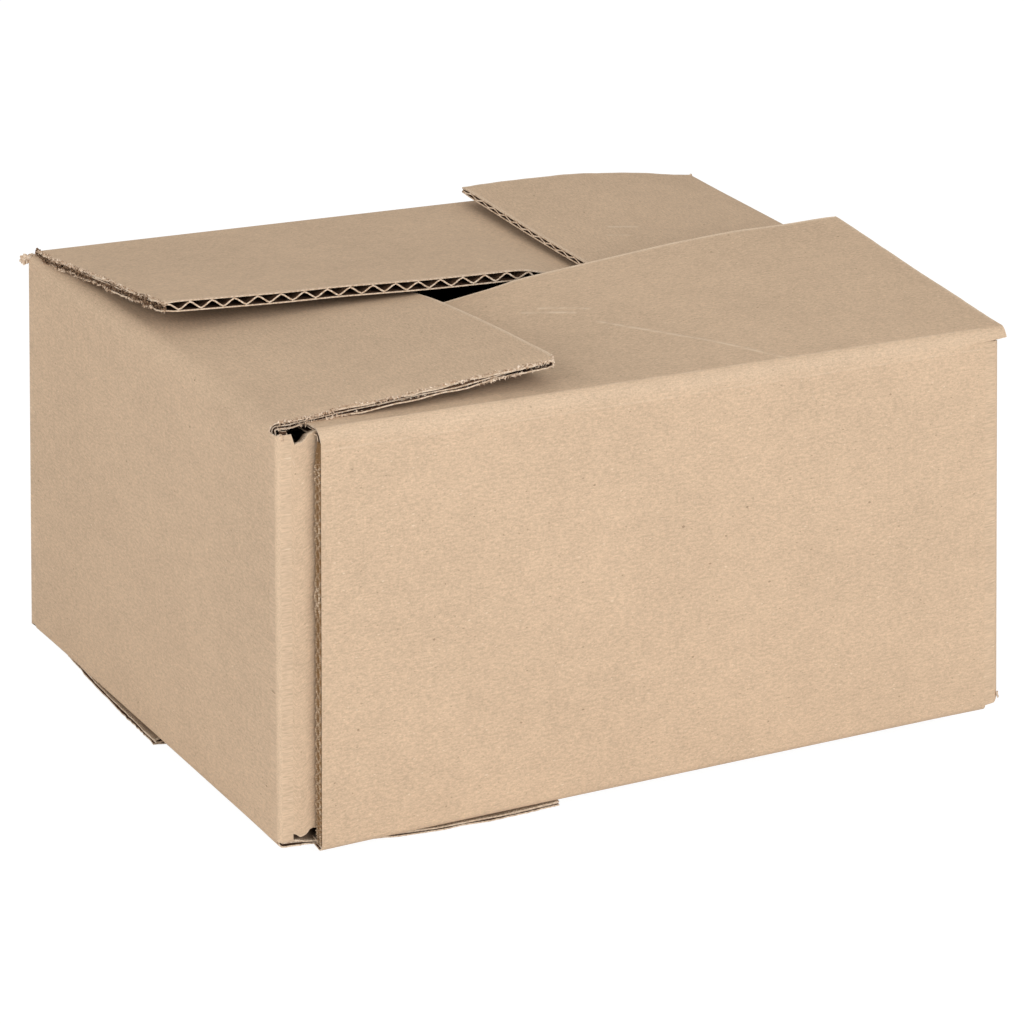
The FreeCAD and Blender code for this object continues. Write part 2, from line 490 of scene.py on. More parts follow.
    def settle(self, points: np.ndarray, u: np.ndarray, rows: RowPlan) -> np.ndarray:
        """Move the panel's points with its four corners, as the real carton leans and sags.

        Args:
            points: Points in the carton's directions.
            u: Places of the columns.
            rows: The rows.

        Returns:
            The moved points.
        """
        along = np.clip(u / self.span, 0, 1)[None, :]
        up = rows.height_share
        moved = points.copy()
        for (at_end, at_top), move in self.moves.items():
            weight = (along if at_end else 1 - along) * (up if at_top else 1 - up) * rows.held
            moved += weight[..., None] * np.array(move)
        moved[..., 2] = np.maximum(moved[..., 2], 0.0)
        return moved

    def placed(self, u: np.ndarray, rows: RowPlan, depth: float, layer: int) -> np.ndarray:
        """Settled points of one layer in the carton's directions."""
        return self.settle(self.to_carton(self.grid(u, rows, depth, layer)), u, rows)

    def to_carton(self, points: np.ndarray) -> np.ndarray:
        """Turn points from the panel's own directions into the carton's.

        Args:
            points: Points with u, v and z.

        Returns:
            The points with x, y and z.
        """
        half_l, half_w = self.layout.length / 2, self.layout.width / 2
        u, v, z = points[..., 0], points[..., 1], points[..., 2]
        placed = {
            Side.FRONT: (-half_l + u, -half_w + v),
            Side.RIGHT: (half_l - v, -half_w + u),
            Side.BACK: (half_l - u, half_w - v),
            Side.LEFT: (-half_l + v, half_w - u),
        }[self.side]
        return np.stack([placed[0], placed[1], z], axis=-1)


def linked(name: str, data: bpy.types.ID) -> bpy.types.Object:
    """Make an object for some data and put it in the scene.

    Args:
        name: Name of the object.
        data: Its mesh, camera or light.

    Returns:
        The new object.
    """
    made = bpy.data.objects.new(name, data)
    bpy.context.collection.objects.link(made)
    return made


class Patchwork:
    """Grids of points that become one mesh, with attributes on their vertices."""

    def __init__(self) -> None:
        """Start empty."""
        self.points: list = []
        self.faces: list = []
        self.uv: list = []
        self.marks: dict = {"raw": [], "worn": [], "room": [], "along": [], "outward": []}
        self.size = 0

    def add(self, points: np.ndarray, uv: np.ndarray, marks: dict, flip: bool = False) -> None:
        """Add one grid.

        Args:
            points: Rows by columns by three.
            uv: Rows by columns by two.
            marks: Values of each attribute, rows by columns, by name.
            flip: Whether the faces turn the other way.
        """
        rows, cols = points.shape[:2]
        index = self.size + np.arange(rows * cols).reshape(rows, cols)
        a, b, c, d = index[:-1, :-1], index[:-1, 1:], index[1:, 1:], index[1:, :-1]
        quads = np.stack([a, d, c, b] if flip else [a, b, c, d], axis=-1).reshape(-1, 4)
        self.points.append(points.reshape(-1, 3))
        self.faces.append(quads)
        self.uv.append(uv.reshape(-1, 2))
        for name, store in self.marks.items():
            width = 3 if name == "outward" else 1
            value = marks.get(name, np.zeros(points.shape[:2] + (3,)) if width == 3 else 0.0)
            shape = points.shape[:2] + ((3,) if width == 3 else ())
            store.append(np.broadcast_to(value, shape).reshape(-1, width))
        self.size += rows * cols

    def build(self, name: str) -> bpy.types.Object:
        """Make the mesh object, in metres, with doubles merged and its marks as attributes.

        Args:
            name: Name of the piece.

        Returns:
            The new object.
        """
        points = np.concatenate(self.points) * MM
        faces = np.concatenate(self.faces)
        uv = np.concatenate(self.uv)
        mesh = bpy.data.meshes.new(name)
        mesh.from_pydata(points.tolist(), [], faces.tolist())
        layer = mesh.uv_layers.new(name="sheet")
        corner = np.zeros(len(mesh.loops), dtype=np.int32)
        mesh.loops.foreach_get("vertex_index", corner)
        layer.data.foreach_set("uv", uv[corner].ravel().astype(np.float32))
        for mark, store in self.marks.items():
            values = np.concatenate(store)
            kind = "FLOAT_VECTOR" if mark == "outward" else "FLOAT"
            attribute = mesh.attributes.new(mark, kind, "POINT")
            key = "vector" if mark == "outward" else "value"
            attribute.data.foreach_set(key, values.ravel().astype(np.float32))
        mesh.update()
        piece = linked(name, mesh)
        weld = piece.modifiers.new("weld", "WELD")
        weld.merge_threshold = MERGE_DISTANCE * MM
        return piece


def bake(piece: bpy.types.Object) -> None:
    """Turn a piece's modifiers into plain mesh.

    Args:
        piece: Object with live modifiers.
    """
    bpy.context.view_layer.update()
    graph = bpy.context.evaluated_depsgraph_get()
    live = piece.evaluated_get(graph)
    mesh = bpy.data.meshes.new_from_object(live, preserve_all_data_layers=True, depsgraph=graph)
    piece.modifiers.clear()
    piece.data = mesh


def thicken(piece: bpy.types.Object, thickness: float, offset: float, inner: int = 0, rim: int = 0) -> None:
    """Give a piece of paper its thickness.

    Args:
        piece: The piece.
        thickness: Thickness of the paper in millimetres.
        offset: Which way it goes: -1 for inwards, 0 for both ways.
        inner: Steps from a face's material to that of its other side.
        rim: Steps from a face's material to that of its cut edges.
    """
    paper = piece.modifiers.new("paper", "SOLIDIFY")
    paper.thickness = thickness * MM
    paper.offset = offset
    paper.material_offset = inner
    paper.material_offset_rim = rim


def finished(piece: bpy.types.Object, finishes: list, angle_deg: float) -> bpy.types.Object:
    """Dress a piece, turn its modifiers into plain mesh and shade it smooth.

    Args:
        piece: Object with live modifiers.
        finishes: Its materials.
        angle_deg: Angle between faces past which an edge stays sharp.

    Returns:
        The same object.
    """
    for finish in finishes:
        piece.data.materials.append(finish)
    bake(piece)
    piece.data.shade_smooth()
    piece.data.set_sharp_from_angle(angle=math.radians(angle_deg))
    return piece


def finish_piece(piece: bpy.types.Object) -> None:
    """Tie a piece to the carton: it rides on its body and stands for its solid.

    Args:
        piece: The finished piece.
    """
    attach(piece, BODY)
    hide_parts(NODE)
    LOG.info("%s: %d faces", piece.name, len(piece.data.polygons))


def strip_sheet(start: float, width: float, up: np.ndarray, shape: tuple) -> np.ndarray:
    """Places on the flat sheet of a narrow strip beside a wall.

    Args:
        start: Where the strip starts round the sheet, in millimetres.
        width: Its width.
        up: The way up the sheet of each of its rows.
        shape: Its rows and columns.

    Returns:
        Array of rows, columns and two places in metres.
    """
    across = np.broadcast_to(start + np.linspace(0, width, shape[1]), shape)
    return np.stack([across, np.broadcast_to(up, shape)], axis=-1) * MM


@dataclass
class Carton:
    """The folded sheet: its liners, upright corners and glue tab."""

    layout: Layout
    board: Board
    panels: dict
    corner_radius: float = 1.3

    def drift(self, panel: Panel, place: float, rows: RowPlan, depth: float) -> np.ndarray:
        """How far settling moves the wall at one side edge, row by row.

        Args:
            panel: The wall's panel.
            place: Place of the side edge along u.
            rows: The rows.
            depth: Depth inside the board.

        Returns:
            Movement of each of the wall's rows.
        """
        u = np.array([place])
        local = panel.to_carton(panel.grid(u, rows, depth, 0))
        return (panel.settle(local, u, rows) - local)[rows.wall, 0]

    def upright(self, first: Panel, second: Optional[Panel], depth: float, rows: RowPlan) -> np.ndarray:
        """Board round an upright corner, between two walls or between the left wall and the tab.

        Args:
            first: Panel whose right end meets the corner.
            second: Panel whose left end meets it, or None where the tab follows.
            depth: Depth inside the board.
            rows: The rows.

        Returns:
            Grid of points over the wall's rows.
        """
        lay = self.layout
        ends = [first.to_carton(first.grid(np.array([first.end]), rows, depth, 0))[rows.wall, 0]]
        drifts = [self.drift(first, first.end, rows, depth)]
        if second is not None:
            ends.append(second.to_carton(second.grid(np.array([second.start]), rows, depth, 0))[rows.wall, 0])
            drifts.append(self.drift(second, second.start, rows, depth))
        else:
            ends, drifts = ends * 2, drifts * 2
        half_l, half_w = lay.length / 2, lay.width / 2
        corner, first_turn = {
            Side.FRONT: ((half_l, -half_w), -90.0),
            Side.RIGHT: ((half_l, half_w), 0.0),
            Side.BACK: ((-half_l, half_w), 90.0),
            Side.LEFT: ((-half_l, -half_w + self.board.thickness), 180.0),
        }[first.side]
        inside = np.sign([-corner[0], -corner[1]])
        radius = max(self.corner_radius - 0.2 * depth, 0.6)
        centre = np.array(corner) + inside * (depth + radius)
        turns = np.radians(first_turn + np.linspace(0, 90, 9))
        arc = centre[:, None] + radius * np.array([np.cos(turns), np.sin(turns)])
        before = self.flat_stretch(first, depth, arc[:, 0])
        after = self.flat_stretch(second, depth, arc[:, -1])
        path = np.concatenate([before[:, None], arc, after[:, None]], axis=1)
        share = np.linspace(0, 1, path.shape[1])
        z = ends[0][:, 2][:, None] * (1 - share) + ends[1][:, 2][:, None] * share
        flat = np.stack([np.broadcast_to(path[0], z.shape), np.broadcast_to(path[1], z.shape), z], axis=-1)
        return flat + drifts[0][:, None, :] * (1 - share)[:, None] + drifts[1][:, None, :] * share[:, None]

    def flat_stretch(self, panel: Optional[Panel], depth: float, arc_end: np.ndarray) -> np.ndarray:
        """Where a wall's own grid ends next to a corner.

        Args:
            panel: The wall's panel, or None for the tab.
            depth: Depth inside the board.
            arc_end: The arc's end on this side, in plan.

        Returns:
            Place in plan.
        """
        lay = self.layout
        if panel is None:
            return np.array([-lay.length / 2 + lay.bend, -lay.width / 2 + self.board.thickness + depth])
        ends = [panel.to_carton(np.array([[u, depth, 0.0]]))[0, :2] for u in (panel.start, panel.end)]
        return min(ends, key=lambda end: float(np.hypot(*(end - arc_end))))

    def tab(self, depth: float, rows: RowPlan) -> np.ndarray:
        """Glue tab from the near corner to its end behind the front panel.

        Args:
            depth: Depth inside the board.
            rows: The rows.

        Returns:
            Grid of points over the wall's rows.
        """
        lay = self.layout
        left = self.panels[Side.LEFT]
        edge = left.to_carton(left.grid(np.array([left.end]), rows, depth, 0))[rows.wall, 0, 2]
        drift = self.drift(left, left.end, rows, depth)
        front = self.panels[Side.FRONT]
        inner = self.drift(front, front.start, rows, depth)
        x = -lay.length / 2 + np.linspace(lay.bend, lay.tab_width, 40)
        out = x - x[0]
        along = np.clip(out / lay.joint_setback, 0, 1)[None, :, None]
        hole_depth, hole_place, hole_width = 2.4, 0.9, 3.8
        hole = hole_depth * np.exp(-(((out - hole_place) / hole_width) ** 2)) * np.clip(out / 0.8, 0, 1)
        top_cut = 0.15 + hole + lay.tab_taper * np.clip(out - 7.0, 0, None)
        low_cut = 1.2 + 0.65 * np.clip(out - 2.0, 0, 8.0)
        share = np.linspace(0, 1, len(rows.wall))[:, None]
        torn = Ripples(77, 0.35, 3.0).at(x[None, :], share * 3)
        z = edge[:, None] - (top_cut[None, :] + torn * 0.9) * share + (low_cut[None, :] + torn) * (1 - share)
        from_cut = np.minimum(share, 1 - share) * lay.wall_height
        pinched = 1 - 0.8 * np.exp(-((from_cut / 1.8) ** 2)) * np.clip(out / 1.5, 0, 1)[None, :]
        y = -lay.width / 2 + self.board.thickness + depth * pinched
        flat = np.stack([np.broadcast_to(x, z.shape), y, z], axis=-1)
        return flat + drift[:, None, :] * (1 - along) + (0.5 * drift + 0.5 * inner)[:, None, :] * along

    def layer(self, depth: float, number: int, rows: RowPlan, step: float, flip: bool) -> Patchwork:
        """One layer of the whole sheet.

        Args:
            depth: Its depth inside the board.
            number: Which tear its side edges follow.
            rows: The rows.
            step: Distance between columns.
            flip: Whether its faces look into the carton.

        Returns:
            The grids of the layer.
        """
        patch = Patchwork()
        girth = 0.0
        order = list(Side)
        for place, side in enumerate(order):
            panel = self.panels[side]
            u = panel.columns(step)
            local = panel.grid(u, rows, depth, number)
            world = panel.settle(panel.to_carton(local), u, rows)
            sheet = panel.sheet(local, rows) + [girth, 0.0]
            raw = np.exp(-((panel.from_side_edge(u)[None, :] / TORN_BAND) ** 2)) * rows.flap_share()
            # The last rows at each flap's free edge are marked raw and so painted lighter: a painted highlight
            # along the free edge.
            free = rows.on(Zone.TOP_FLAP, Zone.BOTTOM_FLAP) & (rows.place > 0.988)
            raw = np.maximum(raw, np.where(free, 0.85, 0.0))
            patch.add(world, sheet * MM, {"raw": raw, "worn": self.wear(u, rows) * panel.rubbed}, flip)
            follower = self.panels[order[place + 1]] if side is not Side.LEFT else None
            corner = self.upright(panel, follower, depth, rows)
            up = sheet[rows.wall, -1, 1][:, None]
            corner_sheet = strip_sheet(girth + panel.end, 2 * self.layout.bend, up, corner.shape[:2])
            patch.add(corner, corner_sheet, {"worn": 0.3}, flip)
            girth += panel.span
        tab = self.tab(depth, rows)
        shape = tab.shape[:2]
        share = np.linspace(0, 1, shape[0])[:, None]
        edge = np.minimum(share, 1 - share) * self.layout.wall_height
        raw = np.broadcast_to(np.exp(-((edge / TORN_BAND) ** 2)), shape)
        patch.add(tab, strip_sheet(girth, self.layout.tab_width, up, shape), {"raw": raw}, flip)
        return patch

    def wear(self, u: np.ndarray, rows: RowPlan) -> np.ndarray:
        """How rubbed the face is, along its folds."""
        rubbed = np.where(rows.on(Zone.BOTTOM_FOLD, Zone.TOP_FOLD), np.sin(np.pi * rows.place), 0.0)
        return rubbed * np.ones(len(u))[None, :]

    def liner(self, name: str, depth: float, rows: RowPlan, step: float, finishes: list) -> bpy.types.Object:
        """Make one liner as a piece of paper with its real thickness.

        Args:
            name: Name of the piece.
            depth: Depth of its open face inside the board.
            rows: The rows.
            step: Distance between columns.
            finishes: Materials of its open face, its flute side and its cut edges.

        Returns:
            The piece, with no modifiers left.
        """
        piece = self.layer(depth, 1 + int(depth > 0), rows, step, depth > 0).build(name)
        thicken(piece, self.board.liner, -1, inner=1, rim=2)
        return finished(piece, finishes, 40)


def carton_panels(layout: Layout, board: Board) -> dict:
    """The four panels with the flaps as the carton's own folds hold them.

    Args:
        layout: Sizes of the carton.
        board: Its board.

    Returns:
        Panel by side.
    """
    ply = 2 * layout.fold_step
    depth = layout.flap_depth
    length, width, bend = layout.length, layout.width, layout.bend
    far = length - depth
    long_base = Profile((bend, depth, far, length - bend), (-ply, -2.1, 4.2, 4.7), bow=1.2)
    short_base = Profile((bend, width / 2, width - bend), (-ply, 1.2, 4.4), bow=2.4)
    front_top = Profile((10, depth, 98, 104, far, 152, 170, 185, 201),
                        (-ply, -0.3, 2.6, 3.9, 6.1, 8.1, 9.0, 8.9, 9.3), softening=3.0)
    back_top = Profile((bend, depth, 98, 118, far, 152, 168, 184, 199),
                       (-ply, 0.0, 5.4, 6.0, 6.4, 7.7, 8.2, 9.0, 9.8), softening=3.0)
    left_top = Profile((bend, 71, 80, 87, 110, 127, 148), (-ply, 1.5, 2.8, 3.7, 5.4, 6.3, 7.2), softening=4.0)
    right_top = Profile((bend, 77, 84, 101, 118, 154), (-ply, 2.9, 3.7, 4.0, 4.6, 6.2), bow=2.2, softening=4.0)
    left_end = width - board.thickness - bend
    common = {"layout": layout, "board": board}
    near_edge_top, near_edge_bottom = (-0.2, -1.1, 2.4), (0.4, -0.75, -4.4)
    right_edge_top, right_edge_bottom = (-1.8, 1.0, -2.5), (3.4, -1.85, 1.1)
    right_under_top = (-1.8, 1.0, -0.6)
    far_edge_top, far_edge_bottom = (0.0, 0.0, -1.5), (0.6, -0.3, 0.6)
    start_top, start_bottom, end_top, end_bottom = (False, True), (False, False), (True, True), (True, False)
    return {
        Side.FRONT: Panel(
            Side.FRONT, start=layout.joint_setback, end=length - bend, top=front_top, bottom=long_base, seed=11,
            top_fold=Fold(inward=2.4, upright=4.6, at_ends=3.0, flatness=0.45),
            moves={start_top: near_edge_top, start_bottom: near_edge_bottom,
                   end_top: right_edge_top, end_bottom: right_edge_bottom},
            reach_top=Reach(end_fold=6.4, end_tip=0.6), side_crush=0.85, rubbed=0.55, ragged=(0.1, 0.03),
            **common),
        Side.RIGHT: Panel(
            Side.RIGHT, start=bend, end=width - bend, top=right_top, bottom=short_base, seed=23,
            top_fold=Fold(2.4, 2.4), reach_top=Reach(2.0, 0.5, 3.8, 0.7), ragged=(0.15, 0.06),
            side_crush=0.8, free_kept=0.62,
            moves={start_top: right_under_top, start_bottom: right_edge_bottom,
                   end_top: far_edge_top, end_bottom: far_edge_bottom}, **common),
        Side.BACK: Panel(
            Side.BACK, start=bend, end=length - bend, top=back_top, bottom=long_base, seed=37,
            top_fold=Fold(2.0, 2.0), reach_top=Reach(1.0, 0.3, 2.4, -1.2), reach_bottom=Reach(end_tip=2.6),
            side_crush=0.78, ragged=(0.2, 0.5),
            moves={start_top: (0.0, 0.0, 1.9), start_bottom: far_edge_bottom,
                   end_top: (0.3, -0.1, 1.2), end_bottom: (-1.3, 0.8, 0.7)}, **common),
        Side.LEFT: Panel(
            Side.LEFT, start=bend, end=left_end, top=left_top, bottom=short_base, seed=51, tip_rounding=3.0,
            top_fold=Fold(5.0, 4.6, at_ends=2.0), rubbed=0.08, ragged=(0.3, 0.5), side_crush=0.6,
            reach_top=Reach(3.0, 0.8), reach_bottom=Reach(end_fold=3.6, end_tip=6.6),
            moves={start_top: (-0.3, 0.2, 2.9), start_bottom: (-1.5, 0.85, -0.4),
                   end_top: (-0.1, 0.05, -0.2), end_bottom: (0.6, -0.3, 0.3)}, **common),
    }


@dataclass(frozen=True)
class Fluting:
    """The fluted medium, waved by geometry nodes between the liners."""

    carton: Carton
    column_step: float = 0.81
    straightness: float = 0.93

    def tree(self) -> bpy.types.NodeTree:
        """Node tree that turns a flat grid into flutes.

        Returns:
            Tree with inputs for the flute pitch, its fullness and the material.
        """
        tree, given = geometry_tree("flute_wave", {"Pitch": "Float", "Fullness": "Float"})
        nodes, links = tree.nodes, tree.links
        named = {name: named_value(nodes, name, kind) for name, kind in
                 (("along", "FLOAT"), ("room", "FLOAT"), ("outward", "FLOAT_VECTOR"))}
        turns = math_node(tree, "DIVIDE", named["along"], given.outputs["Pitch"])
        angle = math_node(tree, "MULTIPLY", turns, 2 * math.pi)
        sine = math_node(tree, "SINE", angle)
        bent = math_node(tree, "ARCSINE", math_node(tree, "MULTIPLY", sine, self.straightness))
        wave = math_node(tree, "MULTIPLY", bent, 1 / math.asin(self.straightness))
        height = math_node(tree, "MULTIPLY", wave, named["room"])
        height = math_node(tree, "MULTIPLY", height, given.outputs["Fullness"])
        offset = nodes.new("ShaderNodeVectorMath")
        offset.operation = "SCALE"
        links.new(named["outward"], offset.inputs[0])
        links.new(height, offset.inputs["Scale"])
        move = nodes.new("GeometryNodeSetPosition")
        links.new(given.outputs["Geometry"], move.inputs["Geometry"])
        links.new(offset.outputs["Vector"], move.inputs["Offset"])
        end_tree(tree, given, move.outputs["Geometry"])
        return tree

    def build(self, finishes: list) -> bpy.types.Object:
        """Make the medium of all four panels.

        Args:
            finishes: Materials of its faces and of its cut edges.

        Returns:
            The finished piece.
        """
        board = self.carton.board
        rows = RowPlan(12, 3, 5)
        patch = Patchwork()
        for panel in self.carton.panels.values():
            count = int((panel.end - panel.start - 0.8) / self.column_step)
            u = np.linspace(panel.start + 0.4, panel.end - 0.4, count)
            outer, middle, inner = (panel.placed(u, rows, share * board.thickness, 5) for share in (0, 0.5, 1))
            outward = outer - inner
            deep = np.linalg.norm(outward, axis=-1)
            outward = outward / deep[..., None]
            room = np.clip(deep / 2 - board.liner - board.medium / 2, 0.03, None) * MM
            marks = {"room": room, "along": (u[None, :] - panel.start) * MM, "outward": outward}
            sheet = panel.sheet(panel.grid(u, rows, 0.0, 5), rows)
            patch.add(middle, sheet * MM, marks)
        piece = patch.build("fluted_medium")
        wave = piece.modifiers.new("flutes", "NODES")
        wave.node_group = self.tree()
        set_inputs(wave, {"Pitch": board.flute_pitch * MM, "Fullness": 1.0, "Material": finishes[0]})
        thicken(piece, board.medium, 0, rim=1)
        return finished(piece, finishes, 50)


@dataclass(frozen=True)
class CutEdge:
    """The front panel's raw upright edge, scalloped by the rule that cut it. Its dark brown base colour is
    painted shade of the board's hollow, shadowed cut face; the light crests are cut paper.
    """

    carton: Carton
    tooth: float = 2.05
    bite: float = 0.55
    rows_per_tooth: int = 8

    def build(self, finish: bpy.types.Material) -> bpy.types.Object:
        """Make the strip that closes the board's cut edge with its row of teeth.

        Args:
            finish: Its material.

        Returns:
            The finished piece.
        """
        front = self.carton.panels[Side.FRONT]
        thickness = self.carton.board.thickness
        count = int(front.wall_height() / self.tooth * self.rows_per_tooth)
        rows = RowPlan(2, 2, count)
        u = np.array([front.start])
        rim = [front.placed(u, rows, depth, 1)[rows.wall, 0] for depth in (0.0, thickness)]
        height = np.linspace(0, count / self.rows_per_tooth, len(rim[0]))
        rng = np.random.RandomState(5)
        size = np.interp(height, np.arange(0, 80), rng.uniform(0.45, 1.25, 80))
        loop = np.abs(np.sin(np.pi * height))[:, None] ** 0.8
        share = np.linspace(0, 1, 13)[None, :]
        strands = [np.exp(-(((share - 0.5 - side * 0.4 * loop) / 0.11) ** 2)) for side in (-1, 1)]
        crest = np.maximum(*strands)
        clean = np.clip((count / self.rows_per_tooth - height) / 2.0 - 3.6, 0.12, 1)[:, None]
        out = self.bite * crest * size[:, None] * clean + 0.06
        points = rim[0][:, None] * (1 - share[..., None]) + rim[1][:, None] * share[..., None]
        points[..., 0] -= out
        raw = np.clip(crest * size[:, None] * clean, 0, 1)
        patch = Patchwork()
        across = np.broadcast_to(front.start - share * thickness, raw.shape)
        sheet = np.stack([across, points[..., 2]], axis=-1)
        patch.add(points, sheet * MM, {"raw": raw}, True)
        return finished(patch.build("cut_edge"), [finish], 60)


@dataclass(frozen=True)
class Fringe:
    """Loose fibres and paper shreds along the torn side edges, set out by geometry nodes."""

    carton: Carton
    name: str
    sides: tuple
    depths: tuple
    spacing: float = 0.3
    length: float = 0.5
    inset: float = 0.1

    def tree(self) -> bpy.types.NodeTree:
        """Node tree that sets shreds along lines.

        Returns:
            Tree with inputs for spacing, size, seed, shred and material.
        """
        inputs = {"Spacing": "Float", "Smallest": "Float", "Largest": "Float", "Seed": "Int", "Shred": "Object"}
        tree, given = geometry_tree("torn_fringe", inputs)
        nodes, links = tree.nodes, tree.links
        curve = nodes.new("GeometryNodeMeshToCurve")
        links.new(given.outputs["Geometry"], curve.inputs["Mesh"])
        dots = nodes.new("GeometryNodeCurveToPoints")
        dots.mode = "LENGTH"
        links.new(curve.outputs["Curve"], dots.inputs["Curve"])
        links.new(given.outputs["Spacing"], dots.inputs["Length"])
        scatter = nodes.new("GeometryNodeInstanceOnPoints")
        links.new(dots.outputs["Points"], scatter.inputs["Points"])
        source = nodes.new("GeometryNodeObjectInfo")
        links.new(given.outputs["Shred"], source.inputs["Object"])
        links.new(source.outputs["Geometry"], scatter.inputs["Instance"])
        turn = nodes.new("FunctionNodeRandomValue")
        turn.data_type = "FLOAT_VECTOR"
        turn.inputs[0].default_value = (-3.1, -3.1, -3.1)
        turn.inputs[1].default_value = (3.1, 3.1, 3.1)
        links.new(given.outputs["Seed"], turn.inputs["Seed"])
        links.new(turn.outputs[0], scatter.inputs["Rotation"])
        size = nodes.new("FunctionNodeRandomValue")
        size.data_type = "FLOAT"
        links.new(given.outputs["Smallest"], size.inputs[2])
        links.new(given.outputs["Largest"], size.inputs[3])
        links.new(given.outputs["Seed"], size.inputs["Seed"])
        links.new(size.outputs[1], scatter.inputs["Scale"])
        end_tree(tree, given, scatter.outputs["Instances"])
        return tree

    def shred(self) -> bpy.types.Object:
        """One bent, tapering shred of paper.

        Returns:
            The shred, linked to the scene until the fringe is made.
        """
        mesh = bpy.data.meshes.new("shred")
        reach, width = self.length * MM, 0.19 * MM
        points = [(-reach, 0, 0), (-reach * 0.3, -width, width), (-reach * 0.3, width, width),
                  (reach * 0.4, -width, 0), (reach * 0.4, width, 0), (reach, 0, -width * 2)]
        mesh.from_pydata(points, [], [(0, 1, 2), (1, 3, 4, 2), (3, 5, 4)])
        return linked("shred_source", mesh)

    def lines(self) -> list:
        """The torn side edges in the carton's directions, one array of points each.

        Returns:
            Arrays of points in millimetres.
        """
        rows = RowPlan(60, 4, 8)
        chosen = []
        for side in self.sides:
            panel = self.carton.panels[side]
            u = np.array([panel.end - self.inset])
            for depth in self.depths:
                points = panel.placed(u, rows, depth, 1 + int(depth > 1))[:, 0]
                chosen.append(points[rows.on(Zone.TOP_FLAP)[:, 0]])
        return chosen

    def build(self, finish: bpy.types.Material) -> bpy.types.Object:
        """Make the fringe.

        Args:
            finish: Its material.

        Returns:
            The finished piece.
        """
        points, edges = [], []
        for line in self.lines():
            base = len(points)
            points += (line * MM).tolist()
            edges += [(base + i, base + i + 1) for i in range(len(line) - 1)]
        mesh = bpy.data.meshes.new(self.name)
        mesh.from_pydata(points, edges, [])
        piece = linked(self.name, mesh)
        shred = self.shred()
        scatter = piece.modifiers.new("fringe", "NODES")
        scatter.node_group = self.tree()
        set_inputs(scatter, {"Spacing": self.spacing * MM, "Smallest": 0.5, "Largest": 1.6, "Seed": 8,
                             "Shred": shred, "Material": finish})
        bake(piece)
        bpy.data.objects.remove(shred)
        return piece


@dataclass(frozen=True)
class Scrap:
    """A small torn and crumpled corner of paper."""

    centre: tuple
    size: tuple
    facing: tuple
    seed: int
    dark: bool = False

    def grid(self) -> np.ndarray:
        """Points of the scrap, thin at its rim and uneven all over.

        Returns:
            Array of rows, columns and x, y, z in millimetres.
        """
        rng = np.random.RandomState(self.seed)
        normal = Vector(self.facing).normalized()
        first = normal.orthogonal().normalized()
        second = normal.cross(first)
        side = np.linspace(-1, 1, 9)
        a, b = np.meshgrid(side, side)
        round_a = a * np.sqrt(1 - b**2 / 2)
        round_b = b * np.sqrt(1 - a**2 / 2)
        jag = 1 + rng.uniform(-0.28, 0.2, a.shape) * (np.maximum(abs(a), abs(b)) > 0.9)
        lump = rng.uniform(-0.35, 0.35, a.shape) + 0.5 * np.sin(2.2 * a + self.seed) * np.cos(1.7 * b)
        local = np.stack([round_a * jag, round_b * jag, lump], axis=-1) * np.array(self.size)
        return local @ np.array([first, second, normal]) + np.array(self.centre)


@dataclass(frozen=True)
class TornCorners:
    """Scraps at the corners where flaps and walls have frayed."""

    carton: Carton
    paper: float = 0.25

    def scraps(self) -> list:
        """The scraps, each at its place by a corner.

        Returns:
            The scraps.
        """
        lay = self.carton.layout
        left, front, top, low = -lay.length / 2, -lay.width / 2, lay.top_level, lay.base_level
        right, back = lay.length / 2, lay.width / 2
        return [
            Scrap((left - 0.7, back + 0.4, top + 0.2), (1.6, 1.4, 0.7), (-0.3, -1, 0.2), 3),
            Scrap((left + 0.6, back - 0.2, top + 0.5), (1.6, 1.1, 0.5), (0.2, -1, 0.6), 9),
            Scrap((left + 2.0, back - 0.9, top + 0.8), (1.3, 1.0, 0.4), (0.1, -1, 0.5), 10),
            Scrap((left + 2.6, back - 0.8, top + 2.1), (0.9, 1.2, 0.6), (0.6, -1, 0.1), 4, True),
            Scrap((right + 3.2, front - 1.6, low + 3.4), (0.6, 1.3, 0.5), (0.9, -1, 0.0), 12),
            Scrap((right - 0.9, back + 0.4, top - 0.5), (0.6, 0.45, 0.4), (0.2, -1, 0.5), 14),
            Scrap((left + 1.3, front + 3.3, top - 1.0), (0.8, 0.9, 0.5), (-0.5, -1, 0.3), 17),
        ]

    def build(self, name: str, dark: bool, finish: bpy.types.Material) -> bpy.types.Object:
        """Make the scraps of one kind as one piece.

        Args:
            name: Name of the piece.
            dark: Whether it holds the scraps of bare medium.
            finish: Their material.

        Returns:
            The finished piece.
        """
        patch = Patchwork()
        for scrap in (scrap for scrap in self.scraps() if scrap.dark == dark):
            points = scrap.grid()
            points[..., 2] = np.maximum(points[..., 2], 0.3)
            patch.add(points, points[..., :2] * MM, {"raw": 1.0})
        piece = patch.build(name)
        thicken(piece, self.paper, 0)
        return finished(piece, [finish], 50)


def geometry_tree(name: str, inputs: dict) -> tuple:
    """Start a geometry node tree.

    Args:
        name: Name of the tree.
        inputs: Kind of each input by its name, besides the geometry and the material.

    Returns:
        The tree and its input node.
    """
    tree = bpy.data.node_groups.new(name, "GeometryNodeTree")
    for label, kind in {"Geometry": "Geometry", **inputs, "Material": "Material"}.items():
        tree.interface.new_socket(label, in_out="INPUT", socket_type="NodeSocket" + kind)
    tree.interface.new_socket("Geometry", in_out="OUTPUT", socket_type="NodeSocketGeometry")
    return tree, tree.nodes.new("NodeGroupInput")


